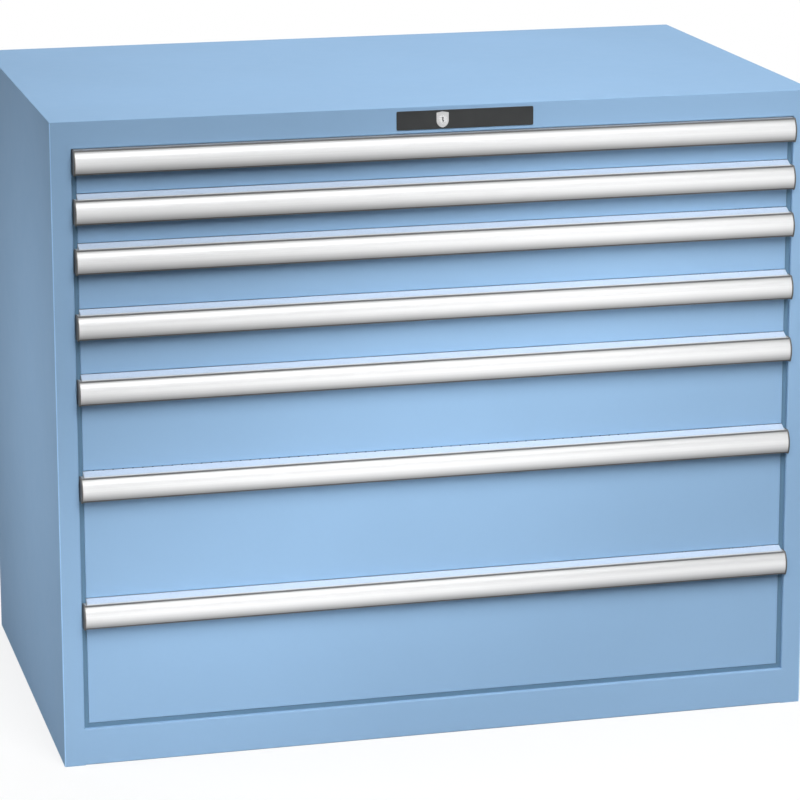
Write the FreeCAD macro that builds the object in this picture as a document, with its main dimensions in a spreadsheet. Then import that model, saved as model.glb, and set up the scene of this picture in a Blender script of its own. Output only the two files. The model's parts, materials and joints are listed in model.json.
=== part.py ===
import FreeCAD, Part
import math
import os
import Sketcher

# Modular drawer cabinet in folded sheet steel, with seven full-extension drawers on roller slides
# and a central lock. Millimetres, +Z up, the front faces -Y, and the origin is the middle of the
# housing's footprint on the floor. Drawers are numbered from the top.

document = FreeCAD.newDocument("DrawerCabinet")
sheet = document.addObject("Spreadsheet::Sheet", "Sizes")

DRIVING_SIZES = {
    # Housing
    "housing_width": 1193,
    "housing_depth": 725,
    "top_bar_height": 41.5,
    "bottom_bar_height": 58.5,
    "housing_sheet": 1.5,
    "bend_radius": 2.5,
    "upright_face": 32,
    "upright_lip": 11.5,
    "rebate_clearance": 1,
    "rebate_return": 14,
    "rear_return": 20,
    "top_bar_lip": 20,
    "top_rear_flange": 20,
    "base_flange": 34,
    "anchor_diameter": 13,
    "anchor_side_inset": 96.5,
    "anchor_end_inset": 19.5,
    "top_edge_radius": 1.2,
    # Slotted posts inside the housing
    "post_clearance": 1.2,
    "post_width": 40,
    "post_front_setback": 51.5,
    "post_rear_setback": 77.5,
    "slot_pitch": 25,
    "slot_width": 4,
    "slot_height": 14,
    # Drawer modules, from the top
    "drawer_height_one": 75,
    "drawer_height_two": 75,
    "drawer_height_three": 100,
    "drawer_height_four": 100,
    "drawer_height_five": 150,
    "drawer_height_six": 200,
    "drawer_height_seven": 200,
    # Drawer trays and fronts
    "drawer_sheet": 1.2,
    "slide_space": 19.3,
    "tray_rear_clearance": 73.6,
    "tray_bottom_gap": 8,
    "tray_top_gap": 8,
    "tray_rim": 8,
    "front_side_gap": 7,
    "front_bottom_gap": 7,
    "front_recess": 5,
    "front_depth": 18,
    "front_edge_radius": 1.5,
    # Handles
    "handle_top_gap": 0.5,
    "handle_end_gap": 1,
    "end_cap_thickness": 2,
    "end_cap_margin": 1,
    "grip_height": 36.5,
    "grip_radius": 27,
    "grip_reach": 18,
    "grip_centre_drop": 20.5,
    "grip_wall": 2.2,
    "ledge_wall": 1.8,
    "ledge_rise": 6.5,
    "foot_drop": 2.4,
    "foot_length": 15,
    "leg_wall": 2,
    "leg_height": 22,
    # Roller slides
    "rail_height": 34,
    "rail_wall": 1.2,
    "rail_front_setback": 46.5,
    "rail_rear_setback": 63.5,
    "rail_side_gap": 0.7,
    "hook_width": 2.4,
    "hook_height": 10,
    "hook_depth": 4,
    "roller_diameter": 24,
    "roller_clearance": 0.3,
    "roller_side_gap": 0.8,
    "roller_spacing": 160,
    "roller_end_inset": 16,
    "carriage_length": 500,
    "carriage_bar_width": 2.5,
    "carriage_bar_height": 20,
    "carriage_front_gap": 4,
    # Lock
    "lock_plate_width": 214,
    "lock_plate_height": 28.5,
    "lock_plate_offset": 36,
    "lock_plate_thickness": 1.5,
    "lock_plate_corner": 2,
    "rosette_width": 19,
    "rosette_height": 24.5,
    "rosette_shoulder": 10.5,
    "rosette_waist": 1,
    "rosette_thickness": 2,
    "cylinder_diameter": 16,
    "cylinder_length": 30,
    "cylinder_hole_clearance": 0.25,
    "cylinder_nose_diameter": 12.4,
    "cylinder_nose_height": 0.8,
    "nut_width": 22,
    "nut_thickness": 5,
    "plug_diameter": 9,
    "plug_clearance": 0.05,
    "plug_nose_height": 0.3,
    "plug_tail": 2,
    "keyway_width": 1.4,
    "keyway_height": 6.5,
    "keyway_depth": 10,
    "crank_width": 12,
    "crank_tail": 7,
    "crank_tip": 12.5,
    "crank_thickness": 3,
    "crank_throw": 8,
    "crank_pin_diameter": 4,
    "crank_slot_clearance": 0.4,
    "rod_gap": 1,
    "rod_thickness": 2.5,
    "rod_height": 16,
    "rod_head_length": 32,
    "rod_head_rise": 6,
    "rod_end_length": 24,
    "rod_end_height": 26,
    "lock_bar_gap": 2,
    "lock_bar_thickness": 3,
    "lock_bar_width": 20,
    "lock_bar_inset": 7,
    "lock_bar_foot": 16.5,
    "lift_pin_diameter": 5,
    "lift_pin_inset": 6,
    "lift_pin_drop": 11.25,
    "lift_slot_clearance": 0.3,
    "nose_height": 6,
    "nose_level": 50,
    "nose_tip_gap": 5.8,
    "catch_width": 7.8,
    "catch_depth": 8,
    "catch_gap": 1,
    "guide_length": 25,
    "guide_wall": 1.5,
    "guide_clearance": 0.3,
    "guide_reach": 23,
    "hanger_length": 14,
}

for row, (name, number) in enumerate(DRIVING_SIZES.items(), start=1):
    sheet.set(f"A{row}", name)
    sheet.set(f"B{row}", str(number))
    sheet.setAlias(f"B{row}", name)
document.recompute()


# Lengths that stay bound to the sheet

class Size:
    """A length: its number as the sheet stands, and the expression that keeps it current."""

    def __init__(self, number, text=None):
        self.number = float(number)
        self.text = text or f"({self.number})"

    def __add__(self, other):
        other = as_size(other)
        return Size(self.number + other.number, f"({self.text} + {other.text})")

    def __sub__(self, other):
        other = as_size(other)
        return Size(self.number - other.number, f"({self.text} - {other.text})")

    def __mul__(self, other):
        other = as_size(other)
        return Size(self.number * other.number, f"({self.text} * {other.text})")

    def __truediv__(self, other):
        other = as_size(other)
        return Size(self.number / other.number, f"({self.text} / {other.text})")

    def __neg__(self):
        return Size(0) - self


def as_size(thing):
    return thing if isinstance(thing, Size) else Size(thing)


def root(size):
    return Size(math.sqrt(size.number), f"sqrt({size.text})")


def whole(size):
    return Size(math.floor(size.number), f"floor({size.text})")


def size_of(name):
    return Size(sheet.get(name), f"Sizes.{name}")


# Sketches, pads and pockets

def new_body(label):
    made = document.addObject("PartDesign::Body", label)
    made.Label = label
    return made


def origin_feature(body, role):
    return next(feature for feature in body.Origin.OriginFeatures if feature.Role == role)


def new_sketch(body, role, offset):
    """A sketch parallel to one of the body's origin planes. XZ_Plane's own normal is -Y."""
    made = body.newObject("Sketcher::SketchObject", f"{body.Label}_sketch")
    made.AttachmentSupport = (origin_feature(body, role), [""])
    made.MapMode = "FlatFace"
    along_normal = -as_size(offset) if role == "XZ_Plane" else as_size(offset)
    start = FreeCAD.Vector(0, 0, along_normal.number)
    made.AttachmentOffset = FreeCAD.Placement(start, FreeCAD.Rotation())
    made.setExpression("AttachmentOffset.Base.z", along_normal.text)
    return made


def bind(sketch, kind, geometry, point, size):
    index = sketch.addConstraint(Sketcher.Constraint(kind, -1, 1, geometry, point, size.number))
    sketch.setExpression(f"Constraints[{index}]", size.text)


def draw_outline(sketch, corners):
    """Closes a wire through corners (u, v). A corner (u, v, centre) starts an arc under a half turn."""
    corners = [(as_size(corner[0]), as_size(corner[1]), corner[2] if len(corner) > 2 else None)
               for corner in corners]
    ends = []
    for index, (u, v, centre) in enumerate(corners):
        next_u, next_v, _ = corners[(index + 1) % len(corners)]
        here = FreeCAD.Vector(u.number, v.number, 0)
        there = FreeCAD.Vector(next_u.number, next_v.number, 0)
        if centre is None:
            segment = sketch.addGeometry(Part.LineSegment(here, there), False)
            ends.append((segment, 1, 2))
            continue
        middle = FreeCAD.Vector(as_size(centre[0]).number, as_size(centre[1]).number, 0)
        first = math.atan2(here.y - middle.y, here.x - middle.x)
        last = math.atan2(there.y - middle.y, there.x - middle.x)
        sweep = (last - first) % (2 * math.pi)
        clockwise = sweep > math.pi
        if clockwise:
            first, last = last, first
        circle = Part.Circle(middle, FreeCAD.Vector(0, 0, 1), here.distanceToPoint(middle))
        segment = sketch.addGeometry(Part.ArcOfCircle(circle, first, last), False)
        ends.append((segment, 2, 1) if clockwise else (segment, 1, 2))
    for index, (segment, start, finish) in enumerate(ends):
        next_segment, next_start, _ = ends[(index + 1) % len(ends)]
        sketch.addConstraint(Sketcher.Constraint("Coincident", segment, finish, next_segment, next_start))
    for index, (segment, start, finish) in enumerate(ends):
        u, v, centre = corners[index]
        arrived_by = corners[index - 1][2]
        if arrived_by is None:
            bind(sketch, "DistanceX", segment, start, u)
            bind(sketch, "DistanceY", segment, start, v)
        else:
            across = abs(u.number - as_size(arrived_by[0]).number)
            upward = abs(v.number - as_size(arrived_by[1]).number)
            steep = across > upward
            bind(sketch, "DistanceY" if steep else "DistanceX", segment, start, v if steep else u)
        if centre is not None:
            bind(sketch, "DistanceX", segment, 3, as_size(centre[0]))
            bind(sketch, "DistanceY", segment, 3, as_size(centre[1]))


def draw_rectangle(sketch, left, right, low, high):
    draw_outline(sketch, [(left, low), (right, low), (right, high), (left, high)])


def draw_circle(sketch, u, v, diameter):
    middle = FreeCAD.Vector(as_size(u).number, as_size(v).number, 0)
    circle = Part.Circle(middle, FreeCAD.Vector(0, 0, 1), diameter.number / 2)
    index = sketch.addGeometry(circle, False)
    bind(sketch, "DistanceX", index, 3, as_size(u))
    bind(sketch, "DistanceY", index, 3, as_size(v))
    radius = sketch.addConstraint(Sketcher.Constraint("Radius", index, diameter.number / 2))
    sketch.setExpression(f"Constraints[{radius}]", (diameter / 2).text)


def draw_polygon(sketch, u, v, width, sides):
    """A regular polygon with a level side at the top. Its width is across two opposite sides."""
    corner_radius = width / (2 * math.cos(math.pi / sides))
    turns = [math.pi / 2 + math.pi * (2 * index + 1) / sides for index in range(sides)]
    draw_outline(sketch, [(u + corner_radius * math.cos(turn), v + corner_radius * math.sin(turn))
                          for turn in turns])


def pad(body, sketch, length, symmetric=False, backwards=False):
    made = body.newObject("PartDesign::Pad", f"{body.Label}_pad")
    made.Profile = sketch
    made.setExpression("Length", as_size(length).text)
    made.Reversed = backwards
    if symmetric:
        made.SideType = "Symmetric"
    body.Tip = made
    document.recompute()
    return made


def pocket(body, sketch, depth, backwards=False):
    before = body.Shape.Volume
    made = body.newObject("PartDesign::Pocket", f"{body.Label}_pocket")
    made.Profile = sketch
    made.setExpression("Length", as_size(depth).text)
    made.Reversed = backwards
    body.Tip = made
    document.recompute()
    if made.Shape.Volume >= before:
        raise RuntimeError(f"{body.Label}: a pocket cuts nothing")
    return made


def pad_block(body, x_span, y_span, z_span):
    sketch = new_sketch(body, "XY_Plane", z_span[0])
    draw_rectangle(sketch, *x_span, *y_span)
    return pad(body, sketch, as_size(z_span[1]) - z_span[0])


def cut_block(body, x_span, y_span, z_span):
    sketch = new_sketch(body, "XY_Plane", z_span[0])
    draw_rectangle(sketch, *x_span, *y_span)
    return pocket(body, sketch, as_size(z_span[1]) - z_span[0], backwards=True)


def mirror_left(body):
    """Adds the left-hand copy of everything in a body drawn on the right."""
    made = body.newObject("PartDesign::Mirrored", f"{body.Label}_mirrored")
    made.MirrorPlane = (origin_feature(body, "YZ_Plane"), [""])
    made.TransformMode = "Whole shape"
    body.Tip = made
    document.recompute()


TOUCHING = 0.01


def round_edges(body, radius, chosen):
    """Fillets the edges of the body's shape whose two ends both pass the test."""
    names = []
    for index, edge in enumerate(body.Shape.Edges, start=1):
        if len(edge.Vertexes) == 2 and all(chosen(vertex.Point) for vertex in edge.Vertexes):
            names.append(f"Edge{index}")
    rounded = body.Tip
    made = body.newObject("PartDesign::Fillet", f"{body.Label}_fillet")
    made.Base = (rounded, names)
    made.setExpression("Radius", radius.text)
    body.Tip = made
    document.recompute()


# Places shared by the pieces

SHEET = size_of("housing_sheet")
BEND = size_of("bend_radius")
SIDE = size_of("housing_width") / 2
WALL = SIDE - SHEET
FRONT = -size_of("housing_depth") / 2
BACK = size_of("housing_depth") / 2
BACK_PANEL_INSIDE = BACK - SHEET * 2
OPENING_SIDE = SIDE - size_of("upright_face")
OPENING_FLOOR = size_of("bottom_bar_height")
HEIGHT_NAMES = ("one", "two", "three", "four", "five", "six", "seven")
DRAWER_HEIGHTS = [size_of(f"drawer_height_{name}") for name in HEIGHT_NAMES]


def drawer_floor(number):
    """The lower edge of drawer number's module."""
    floor = OPENING_FLOOR
    for height in DRAWER_HEIGHTS[number:]:
        floor = floor + height
    return floor


OPENING_TOP = drawer_floor(0)
TOP = OPENING_TOP + size_of("top_bar_height")
TOP_UNDERSIDE = TOP - SHEET
DRAWERS = range(1, len(DRAWER_HEIGHTS) + 1)

POST_FACE = OPENING_SIDE + size_of("post_clearance")
FRONT_POST = (FRONT + size_of("post_front_setback"),
              FRONT + size_of("post_front_setback") + size_of("post_width"))
REAR_POST = (BACK - size_of("post_rear_setback") - size_of("post_width"),
             BACK - size_of("post_rear_setback"))
FIRST_SLOT = OPENING_FLOOR + size_of("rail_height")

FRONT_FACE = FRONT + size_of("front_recess")
TRAY_FRONT = FRONT_FACE + size_of("front_depth")
TRAY_BACK = BACK - size_of("tray_rear_clearance")
TRAY_SIDE = OPENING_SIDE - size_of("slide_space")
FRONT_SIDE = OPENING_SIDE - size_of("front_side_gap")
HANDLE_END = OPENING_SIDE - size_of("handle_end_gap")

ROLLER = size_of("roller_diameter")
CHANNEL_HALF = ROLLER / 2 + size_of("roller_clearance")
RAIL_WALL = size_of("rail_wall")
RAIL_HALF = CHANNEL_HALF + RAIL_WALL
RAIL_FRONT = FRONT + size_of("rail_front_setback")
RAIL_BACK = BACK - size_of("rail_rear_setback")
BAR_MIDDLE = (TRAY_SIDE + POST_FACE) / 2
BAR_HALF = size_of("carriage_bar_width") / 2
CHANNEL_GAP = BAR_HALF + size_of("rail_side_gap")
CARRIAGE_FRONT = RAIL_FRONT + size_of("carriage_front_gap")
CARRIAGE_BACK = CARRIAGE_FRONT + size_of("carriage_length")

LOCK_LEVEL = TOP - size_of("top_bar_height") / 2
PLATE_FACE = FRONT - size_of("lock_plate_thickness")
ROSETTE_FACE = PLATE_FACE - size_of("rosette_thickness")
CYLINDER_BACK = PLATE_FACE + size_of("cylinder_length")
CRANK_FRONT = CYLINDER_BACK + size_of("plug_tail")
CRANK_BACK = CRANK_FRONT + size_of("crank_thickness")
ROD_FRONT = CRANK_BACK + size_of("rod_gap")
ROD_BACK = ROD_FRONT + size_of("rod_thickness")
LOCK_BAR_FRONT = ROD_BACK + size_of("lock_bar_gap")
LOCK_BAR_BACK = LOCK_BAR_FRONT + size_of("lock_bar_thickness")
LOCK_BAR_OUTER = WALL - size_of("lock_bar_inset")
LOCK_BAR_INNER = LOCK_BAR_OUTER - size_of("lock_bar_width")
HALF_SQUARE = math.sqrt(0.5)
CRANK_REACH = size_of("crank_throw") * HALF_SQUARE
LOCK_TRAVEL = CRANK_REACH * 2
LIFT_PIN_X = LOCK_BAR_INNER + size_of("lift_pin_inset")
LIFT_PIN_Z = LOCK_LEVEL - size_of("lift_pin_drop")
NUT_SIDES = 6
ROLLER_SIDES = 12
HANGER_SHARES = (0.25, 0.75)
GUIDE_SHARES = (0.08, 0.45, 0.85)


# Housing

def side_panel(label, hand):
    """One folded sheet: a front return with a rebate behind the drawer fronts, the wall and a rear
    return. hand is 1 on the right, and the bend at the opening ends at the top and bottom bars."""
    body = new_body(label)
    sketch = new_sketch(body, "XY_Plane", 0)
    lip_end = FRONT + size_of("upright_lip")
    rear_end = SIDE - size_of("rear_return")
    draw_outline(sketch, [
        (OPENING_SIDE * hand, FRONT),
        ((SIDE - BEND) * hand, FRONT, ((SIDE - BEND) * hand, FRONT + BEND)),
        (SIDE * hand, FRONT + BEND),
        (SIDE * hand, BACK - BEND, ((SIDE - BEND) * hand, BACK - BEND)),
        ((SIDE - BEND) * hand, BACK),
        (rear_end * hand, BACK),
        (rear_end * hand, BACK - SHEET),
        (WALL * hand, BACK - SHEET),
        (WALL * hand, FRONT + SHEET),
        ((OPENING_SIDE + SHEET) * hand, FRONT + SHEET),
        ((OPENING_SIDE + SHEET) * hand, lip_end),
        (OPENING_SIDE * hand, lip_end),
    ])
    pad(body, sketch, TOP_UNDERSIDE)
    rebate = new_sketch(body, "XY_Plane", OPENING_FLOOR)
    rebate_side = FRONT_SIDE + size_of("rebate_clearance")
    return_end = lip_end + size_of("rebate_return")
    draw_outline(rebate, [
        (OPENING_SIDE * hand, lip_end - SHEET),
        (rebate_side * hand, lip_end - SHEET),
        (rebate_side * hand, return_end),
        ((rebate_side + SHEET) * hand, return_end),
        ((rebate_side + SHEET) * hand, lip_end),
        (OPENING_SIDE * hand, lip_end),
    ])
    pad(body, rebate, OPENING_TOP - OPENING_FLOOR)
    bend = new_sketch(body, "XY_Plane", OPENING_FLOOR)
    draw_outline(bend, [
        (OPENING_SIDE * hand, FRONT),
        ((OPENING_SIDE + BEND) * hand, FRONT, ((OPENING_SIDE + BEND) * hand, FRONT + BEND)),
        (OPENING_SIDE * hand, FRONT + BEND),
    ])
    pocket(body, bend, OPENING_TOP - OPENING_FLOOR, backwards=True)


def top_panel():
    """The top sheet with its folded front bar and rear flange, and the hole for the lock."""
    body = new_body("top_panel")
    pad_block(body, (-SIDE, SIDE), (FRONT, BACK), (TOP_UNDERSIDE, TOP))
    front_bar = new_sketch(body, "YZ_Plane", 0)
    lip_end = FRONT + size_of("top_bar_lip")
    draw_outline(front_bar, [
        (FRONT, TOP_UNDERSIDE),
        (FRONT, OPENING_TOP + BEND, (FRONT + BEND, OPENING_TOP + BEND)),
        (FRONT + BEND, OPENING_TOP),
        (lip_end, OPENING_TOP),
        (lip_end, OPENING_TOP + SHEET),
        (FRONT + SHEET, OPENING_TOP + SHEET),
        (FRONT + SHEET, TOP_UNDERSIDE),
    ])
    pad(body, front_bar, OPENING_SIDE * 2, symmetric=True)
    flange_low = TOP_UNDERSIDE - size_of("top_rear_flange")
    pad_block(body, (-WALL, WALL), (BACK_PANEL_INSIDE - SHEET, BACK_PANEL_INSIDE),
              (flange_low, TOP_UNDERSIDE))
    round_edges(body, size_of("top_edge_radius"), lambda point: point.z > TOP.number - TOUCHING)
    hole = new_sketch(body, "XZ_Plane", FRONT)
    hole_diameter = size_of("cylinder_diameter") + size_of("cylinder_hole_clearance") * 2
    draw_circle(hole, 0, LOCK_LEVEL, hole_diameter)
    pocket(body, hole, SHEET * 2)


def base_panel():
    """The floor sheet, folded down into the bottom bar and the rear wall, with floor flanges."""
    body = new_body("base_panel")
    section = new_sketch(body, "YZ_Plane", 0)
    flange = size_of("base_flange")
    rear = BACK_PANEL_INSIDE
    draw_outline(section, [
        (FRONT + flange, 0),
        (FRONT + BEND, 0, (FRONT + BEND, BEND)),
        (FRONT, BEND),
        (FRONT, OPENING_FLOOR - BEND, (FRONT + BEND, OPENING_FLOOR - BEND)),
        (FRONT + BEND, OPENING_FLOOR),
        (rear, OPENING_FLOOR),
        (rear, 0),
        (rear - flange, 0),
        (rear - flange, SHEET),
        (rear - SHEET, SHEET),
        (rear - SHEET, OPENING_FLOOR - SHEET),
        (FRONT + SHEET, OPENING_FLOOR - SHEET),
        (FRONT + SHEET, SHEET),
        (FRONT + flange, SHEET),
    ])
    pad(body, section, WALL * 2, symmetric=True)
    corners = new_sketch(body, "XY_Plane", 0)
    lip_end = FRONT + size_of("upright_lip")
    draw_rectangle(corners, OPENING_SIDE, WALL, FRONT, lip_end)
    draw_rectangle(corners, -WALL, -OPENING_SIDE, FRONT, lip_end)
    pocket(body, corners, OPENING_FLOOR, backwards=True)
    anchors = new_sketch(body, "XY_Plane", 0)
    anchor_x = SIDE - size_of("anchor_side_inset")
    anchor_y = BACK - size_of("anchor_end_inset")
    for x in (-anchor_x, anchor_x):
        for y in (-anchor_y, anchor_y):
            draw_circle(anchors, x, y, size_of("anchor_diameter"))
    pocket(body, anchors, SHEET * 2, backwards=True)


def back_panel():
    """A flat sheet spot-welded inside the rear returns."""
    body = new_body("back_panel")
    pad_block(body, (-WALL, WALL), (BACK_PANEL_INSIDE, BACK - SHEET), (0, TOP_UNDERSIDE))


def posts():
    """Four slotted channel posts, welded to the side panels, that carry the cabinet rails."""
    body = new_body("slotted_posts")
    sections = new_sketch(body, "XY_Plane", OPENING_FLOOR)
    for near, far in (FRONT_POST, REAR_POST):
        draw_outline(sections, [
            (POST_FACE, near),
            (WALL, near),
            (WALL, near + SHEET),
            (POST_FACE + SHEET, near + SHEET),
            (POST_FACE + SHEET, far - SHEET),
            (WALL, far - SHEET),
            (WALL, far),
            (POST_FACE, far),
        ])
    pad(body, sections, TOP_UNDERSIDE - OPENING_FLOOR)
    slots = new_sketch(body, "YZ_Plane", POST_FACE - SHEET)
    half_width = size_of("slot_width") / 2
    half_height = size_of("slot_height") / 2
    for near, far in (FRONT_POST, REAR_POST):
        middle = (near + far) / 2
        draw_rectangle(slots, middle - half_width, middle + half_width,
                       FIRST_SLOT - half_height, FIRST_SLOT + half_height)
    first_slots = pocket(body, slots, SHEET * 3, backwards=True)
    rows = body.newObject("PartDesign::LinearPattern", "slotted_posts_rows")
    rows.Originals = [first_slots]
    rows.Direction = (origin_feature(body, "Z_Axis"), [""])
    rows.Mode = "Spacing"
    rows.setExpression("Offset", size_of("slot_pitch").text)
    rows.setExpression("Occurrences", slot_count().text)
    body.Tip = rows
    document.recompute()
    mirror_left(body)


def slot_count():
    room = OPENING_TOP - FIRST_SLOT - size_of("slot_height") / 2
    return whole(room / size_of("slot_pitch")) + 1


def nearest_slot(level):
    """The level of the slot that lies closest to the given one."""
    pitch = size_of("slot_pitch")
    return FIRST_SLOT + whole((level - FIRST_SLOT) / pitch + 0.5) * pitch


def channel(sketch, web, mouth, level):
    """A rail's section: its web stands at x = web, and its flanges reach to x = mouth."""
    inside = RAIL_WALL if web.number < mouth.number else -RAIL_WALL
    draw_outline(sketch, [
        (web, level - RAIL_HALF),
        (mouth, level - RAIL_HALF),
        (mouth, level - CHANNEL_HALF),
        (web + inside, level - CHANNEL_HALF),
        (web + inside, level + CHANNEL_HALF),
        (mouth, level + CHANNEL_HALF),
        (mouth, level + RAIL_HALF),
        (web, level + RAIL_HALF),
    ])


def cabinet_rails():
    """A fixed channel each side of every drawer, hooked into the posts' slots."""
    body = new_body("cabinet_rails")
    for number in DRAWERS:
        section = new_sketch(body, "XZ_Plane", RAIL_BACK)
        level = drawer_floor(number) + size_of("rail_height")
        channel(section, POST_FACE, BAR_MIDDLE + CHANNEL_GAP, level)
        pad(body, section, RAIL_BACK - RAIL_FRONT)
    hooks = new_sketch(body, "YZ_Plane", POST_FACE)
    half_width = size_of("hook_width") / 2
    half_height = size_of("hook_height") / 2
    for number in DRAWERS:
        level = nearest_slot(drawer_floor(number) + size_of("rail_height"))
        for near, far in (FRONT_POST, REAR_POST):
            middle = (near + far) / 2
            draw_rectangle(hooks, middle - half_width, middle + half_width,
                           level - half_height, level + half_height)
    pad(body, hooks, size_of("hook_depth"))
    mirror_left(body)


# Drawers

def drawer_tray(number):
    """A folded tray with inward rims, its two runner channels, and the catch that the lock holds."""
    body = new_body(f"drawer_{number}_tray")
    floor = drawer_floor(number)
    low = floor + size_of("tray_bottom_gap")
    high = floor + DRAWER_HEIGHTS[number - 1] - size_of("tray_top_gap")
    wall = size_of("drawer_sheet")
    rim = size_of("tray_rim")
    pad_block(body, (-TRAY_SIDE, TRAY_SIDE), (TRAY_FRONT, TRAY_BACK), (low, high))
    cut_block(body, (wall - TRAY_SIDE, TRAY_SIDE - wall), (TRAY_FRONT + wall, TRAY_BACK - wall),
              (low + wall, high))
    rims = new_sketch(body, "XY_Plane", high - wall)
    draw_rectangle(rims, -TRAY_SIDE, TRAY_SIDE, TRAY_FRONT, TRAY_BACK)
    draw_rectangle(rims, rim - TRAY_SIDE, TRAY_SIDE - rim, TRAY_FRONT + rim, TRAY_BACK - rim)
    pad(body, rims, wall)
    runners = new_sketch(body, "XZ_Plane", TRAY_BACK)
    level = floor + size_of("rail_height")
    mouth = BAR_MIDDLE - CHANNEL_GAP
    channel(runners, TRAY_SIDE, mouth, level)
    channel(runners, -TRAY_SIDE, -mouth, level)
    pad(body, runners, TRAY_BACK - TRAY_FRONT - wall)
    catch_front = LOCK_BAR_BACK + size_of("catch_gap")
    catch_low = floor + size_of("nose_level") + LOCK_TRAVEL
    pad_block(body, (TRAY_SIDE, TRAY_SIDE + size_of("catch_width")),
              (catch_front, catch_front + size_of("catch_depth")),
              (catch_low, catch_low + size_of("nose_height") - size_of("guide_clearance")))


def handle_top(number):
    return drawer_floor(number) + DRAWER_HEIGHTS[number - 1] - size_of("handle_top_gap")


def front_top(number):
    """The front's upper edge, where the handle's foot rests."""
    return handle_top(number) - size_of("foot_drop")


def drawer_front(number):
    """The front: a sheet folded back on all four sides, open towards the tray."""
    body = new_body(f"drawer_{number}_front")
    low = drawer_floor(number) + size_of("front_bottom_gap")
    high = front_top(number)
    wall = size_of("drawer_sheet")
    face = new_sketch(body, "XZ_Plane", TRAY_FRONT)
    draw_rectangle(face, -FRONT_SIDE, FRONT_SIDE, low, high)
    pad(body, face, TRAY_FRONT - FRONT_FACE)
    face_limit = FRONT_FACE.number + TOUCHING
    round_edges(body, size_of("front_edge_radius"), lambda point: point.y < face_limit)
    hollow = new_sketch(body, "XZ_Plane", TRAY_FRONT)
    draw_rectangle(hollow, wall - FRONT_SIDE, FRONT_SIDE - wall, low + wall, high - wall)
    pocket(body, hollow, TRAY_FRONT - FRONT_FACE - wall, backwards=True)


GRIP_REACH = FRONT - size_of("grip_reach")
GRIP_CENTRE_Y = GRIP_REACH + size_of("grip_radius")


def grip_point(radius, below_top):
    """The y of the grip's arc of the given radius, at a distance below the handle's top edge."""
    rise = size_of("grip_centre_drop") - below_top
    return GRIP_CENTRE_Y - root(radius * radius - rise * rise)


def drawer_handle(number):
    """The extruded handle: a convex grip open below, and a leg on the front. Its foot and its
    sloped label ledge are only as wide as the front."""
    body = new_body(f"drawer_{number}_handle")
    section = new_sketch(body, "YZ_Plane", 0)
    top = handle_top(number)
    outer = size_of("grip_radius")
    inner = outer - size_of("grip_wall")
    centre = (GRIP_CENTRE_Y, top - size_of("grip_centre_drop"))
    ledge = size_of("ledge_wall")
    bottom = size_of("grip_height")
    leg_front = FRONT_FACE - size_of("leg_wall")
    draw_outline(section, [
        (grip_point(outer, Size(0)), top, centre),
        (grip_point(outer, bottom), top - bottom),
        (grip_point(inner, bottom), top - bottom, centre),
        (grip_point(inner, ledge), top - ledge),
        (leg_front, top - ledge),
        (leg_front, top - size_of("leg_height")),
        (FRONT_FACE, top - size_of("leg_height")),
        (FRONT_FACE, top),
    ])
    pad(body, section, (HANDLE_END - size_of("end_cap_thickness")) * 2, symmetric=True)
    seat = new_sketch(body, "YZ_Plane", 0)
    foot_low = top - size_of("foot_drop")
    foot_end = FRONT_FACE + size_of("foot_length")
    corners = [
        (FRONT_FACE, foot_low),
        (foot_end, foot_low),
        (foot_end, foot_low + ledge),
        (FRONT_FACE + ledge, foot_low + ledge),
    ]
    if number > 1:
        rise = size_of("ledge_rise")
        corners += [
            (FRONT_FACE + ledge, top + rise),
            (FRONT_FACE, top + rise),
            (grip_point(outer, Size(0)), top),
            (FRONT_FACE, top),
        ]
    else:
        corners += [(FRONT_FACE + ledge, top), (FRONT_FACE, top)]
    draw_outline(seat, corners)
    pad(body, seat, FRONT_SIDE * 2, symmetric=True)


def handle_end_caps(number):
    """Two plates that close the ends of the handle, a little proud of the grip below and in front."""
    body = new_body(f"drawer_{number}_end_caps")
    outline = new_sketch(body, "YZ_Plane", HANDLE_END - size_of("end_cap_thickness"))
    top = handle_top(number)
    margin = size_of("end_cap_margin")
    radius = size_of("grip_radius") + margin
    bottom = size_of("grip_height") + margin
    centre = (GRIP_CENTRE_Y, top - size_of("grip_centre_drop"))
    draw_outline(outline, [
        (grip_point(radius, Size(0)), top, centre),
        (grip_point(radius, bottom), top - bottom),
        (FRONT_FACE, top - bottom),
        (FRONT_FACE, top),
    ])
    pad(body, outline, size_of("end_cap_thickness"))
    mirror_left(body)


# Carriages, the middle members of the slides

def carriage_bars(number):
    """The flat bar of each carriage, one each side."""
    body = new_body(f"carriage_{number}_bars")
    level = drawer_floor(number) + size_of("rail_height")
    half_height = size_of("carriage_bar_height") / 2
    pad_block(body, (BAR_MIDDLE - BAR_HALF, BAR_MIDDLE + BAR_HALF), (CARRIAGE_FRONT, CARRIAGE_BACK),
              (level - half_height, level + half_height))
    mirror_left(body)


def carriage_rollers(number):
    """Each bar has two rollers in the cabinet rail at its rear, and two in the runner at its front."""
    body = new_body(f"carriage_{number}_rollers")
    level = drawer_floor(number) + size_of("rail_height")
    width = (POST_FACE - TRAY_SIDE) / 2 - RAIL_WALL - BAR_HALF - size_of("roller_side_gap")
    spacing = size_of("roller_spacing")
    rear = CARRIAGE_BACK - size_of("roller_end_inset")
    outboard = new_sketch(body, "YZ_Plane", BAR_MIDDLE + BAR_HALF)
    for y in (rear - spacing, rear):
        draw_polygon(outboard, y, level, ROLLER, ROLLER_SIDES)
    pad(body, outboard, width)
    front = CARRIAGE_FRONT + size_of("roller_end_inset")
    inboard = new_sketch(body, "YZ_Plane", BAR_MIDDLE - BAR_HALF)
    for y in (front, front + spacing):
        draw_polygon(inboard, y, level, ROLLER, ROLLER_SIDES)
    pad(body, inboard, width, backwards=True)
    mirror_left(body)


# Lock

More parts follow.
